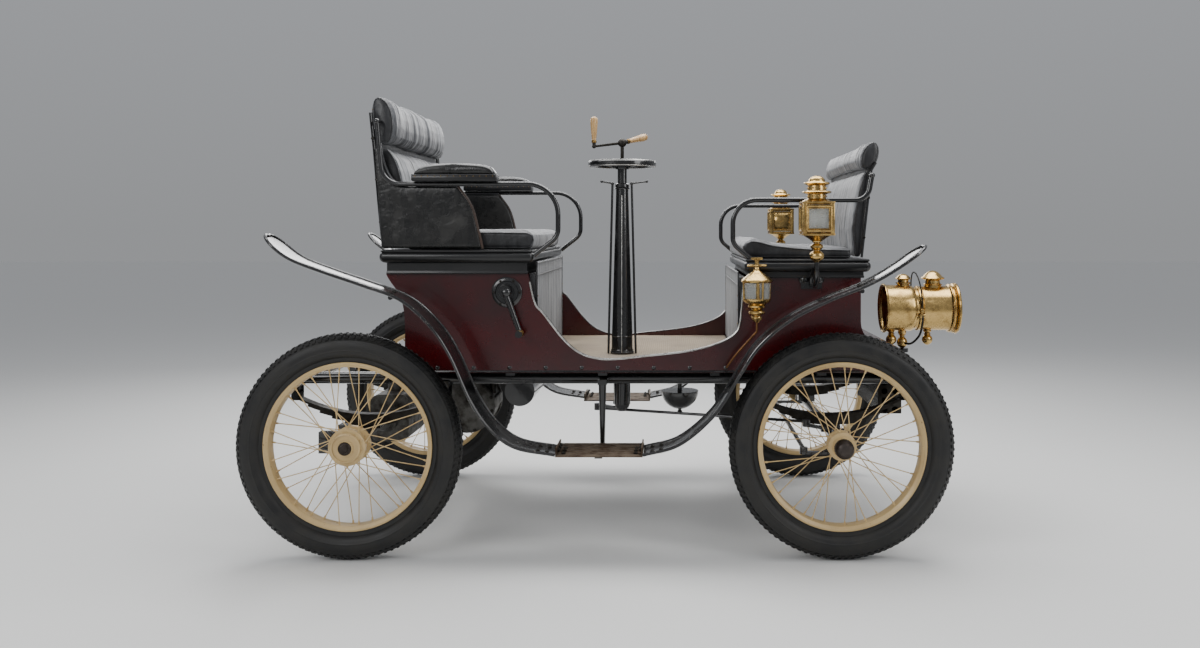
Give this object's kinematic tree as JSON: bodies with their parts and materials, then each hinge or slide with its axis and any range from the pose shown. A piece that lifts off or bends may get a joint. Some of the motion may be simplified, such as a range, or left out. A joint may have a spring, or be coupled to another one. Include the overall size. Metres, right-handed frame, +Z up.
{
  "type": "early motor car with face-to-face seats",
  "caption": "Open brass era car with facing leather seats, wire wheels, a centre steering column, sweeping fenders and brass lamps; wheels roll and the front ones steer.",
  "frame": {"origin": "on the ground under the middle of the car's length and width", "axes": "+X forwards, +Y the car's left, +Z up"},
  "size_m": [2.4189, 1.28, 1.4858],
  "materials": {
    "burgundy_coachwork": "dark burgundy coach paint on wood, varnished, edges worn",
    "floor_wood": "oiled board",
    "seat_frame_black": "black painted wood moulding",
    "floor_mat": "beige woven mat",
    "black_leather": "worn black leather with a grey sheen",
    "black_enamel": "black stove enamel, chipped at edges",
    "spring_steel": "dark oiled spring steel",
    "step_steel": "worn brown-grey steel",
    "cast_casing": "dull cast alloy casing",
    "radiator_metal": "black finned tubes",
    "wheel_cream": "cream paint, worn and stained",
    "tyre_rubber": "black rubber",
    "lamp_brass": "polished brass with some tarnish",
    "lamp_glass": "clear bevelled glass",
    "copper": "dull copper tube",
    "lever_steel": "dark bright-worn steel",
    "boxwood": "pale polished boxwood"
  },
  "bodies": {
    "root": {"arm_pads": "black_leather", "body_bearers": "floor_wood", "chassis_frame": "black_enamel", "control_rods": "black_enamel", "drip_oiler": "lamp_brass", "engine": "cast_casing", "fender_stays": "black_enamel", "floor_board": "floor_wood", "floor_mat": "floor_mat", "foot_gong": "black_enamel", "front_apron": "burgundy_coachwork", "front_axle": "black_enamel", "front_seat_back": "black_leather", "front_seat_board": "seat_frame_black", "front_seat_cushion": "black_leather", "gearbox_and_half_shafts": "cast_casing", "headlamp": "lamp_brass", "lamp_brackets": "black_enamel", "lamp_glass": "lamp_glass", "leaf_springs": "spring_steel", "left_body_side": "burgundy_coachwork", "left_front_fender": "black_enamel", "left_rear_fender": "black_enamel", "oil_pipe": "copper", "radiator": "radiator_metal", "rear_axle": "black_enamel", "rear_body_panel": "burgundy_coachwork", "rear_seat_back": "black_leather", "rear_seat_board": "seat_frame_black", "rear_seat_cushion": "black_leather", "right_body_side": "burgundy_coachwork", "right_front_fender": "black_enamel", "right_rear_fender": "black_enamel", "seat_cheeks": "black_leather", "seat_rails": "black_enamel", "seat_risers": "black_leather", "side_lamps": "lamp_brass", "silencer": "black_enamel", "speed_handwheel": "black_enamel", "starting_handle": "black_enamel", "steering_column": "black_enamel", "step_brackets": "black_enamel", "steps": "step_steel"},
    "steering_lever": {"steering_lever": "lever_steel", "lever_grips": "boxwood"},
    "drop_arm": {"drop_arm": "black_enamel"},
    "drag_link": {"drag_link": "black_enamel"},
    "right_knuckle": {"right_knuckle": "black_enamel"},
    "left_knuckle": {"left_knuckle": "black_enamel"},
    "tie_rod": {"tie_rod": "black_enamel"},
    "front_left_wheel": {"front_left_wheel": "wheel_cream", "front_left_tyre": "tyre_rubber"},
    "front_right_wheel": {"front_right_wheel": "wheel_cream", "front_right_tyre": "tyre_rubber"},
    "rear_left_wheel": {"rear_left_wheel": "wheel_cream", "rear_left_tyre": "tyre_rubber"},
    "rear_right_wheel": {"rear_right_wheel": "wheel_cream", "rear_right_tyre": "tyre_rubber"}
  },
  "joints": [
    {"name": "steering", "type": "hinge", "parent": "root", "child": "steering_lever", "pos_m": [-0.0165, -0.23, 1.257], "axis": [0, 0, 1], "range_deg": [-80, 80]},
    {"name": "drop_arm_swing", "type": "hinge", "parent": "root", "child": "drop_arm", "pos_m": [-0.0165, -0.23, 0.43], "axis": [0, 0, 1], "range_deg": [-20, 20]},
    {"name": "drag_link_pivot", "type": "hinge", "parent": "drop_arm", "child": "drag_link", "pos_m": [-0.1065, -0.14, 0.402], "axis": [0, 0, 1], "range_deg": [-20, 20]},
    {"name": "right_kingpin", "type": "hinge", "parent": "root", "child": "right_knuckle", "pos_m": [0.6855, -0.49, 0.355], "axis": [0, 0, 1], "range_deg": [-20, 20]},
    {"name": "left_kingpin", "type": "hinge", "parent": "root", "child": "left_knuckle", "pos_m": [0.6855, 0.49, 0.355], "axis": [0, 0, 1], "range_deg": [-20, 20]},
    {"name": "tie_rod_pivot", "type": "hinge", "parent": "left_knuckle", "child": "tie_rod", "pos_m": [0.5755, 0.49, 0.331], "axis": [0, 0, 1], "range_deg": [-20, 20]},
    {"name": "front_left_spin", "type": "hinge", "parent": "left_knuckle", "child": "front_left_wheel", "pos_m": [0.6855, 0.55, 0.355], "axis": [0, 1, 0], "continuous": true},
    {"name": "front_right_spin", "type": "hinge", "parent": "right_knuckle", "child": "front_right_wheel", "pos_m": [0.6855, -0.55, 0.355], "axis": [0, 1, 0], "continuous": true},
    {"name": "rear_left_spin", "type": "hinge", "parent": "root", "child": "rear_left_wheel", "pos_m": [-0.8545, 0.55, 0.355], "axis": [0, 1, 0], "continuous": true},
    {"name": "rear_right_spin", "type": "hinge", "parent": "root", "child": "rear_right_wheel", "pos_m": [-0.8545, -0.55, 0.355], "axis": [0, 1, 0], "continuous": true}
  ],
  "couplings": [
    {"joint": "drop_arm_swing", "follows": "steering", "ratio": 0.25},
    {"joint": "drag_link_pivot", "follows": "steering", "ratio": -0.25},
    {"joint": "right_kingpin", "follows": "steering", "ratio": 0.25},
    {"joint": "left_kingpin", "follows": "steering", "ratio": 0.25},
    {"joint": "tie_rod_pivot", "follows": "steering", "ratio": -0.25}
  ]
}
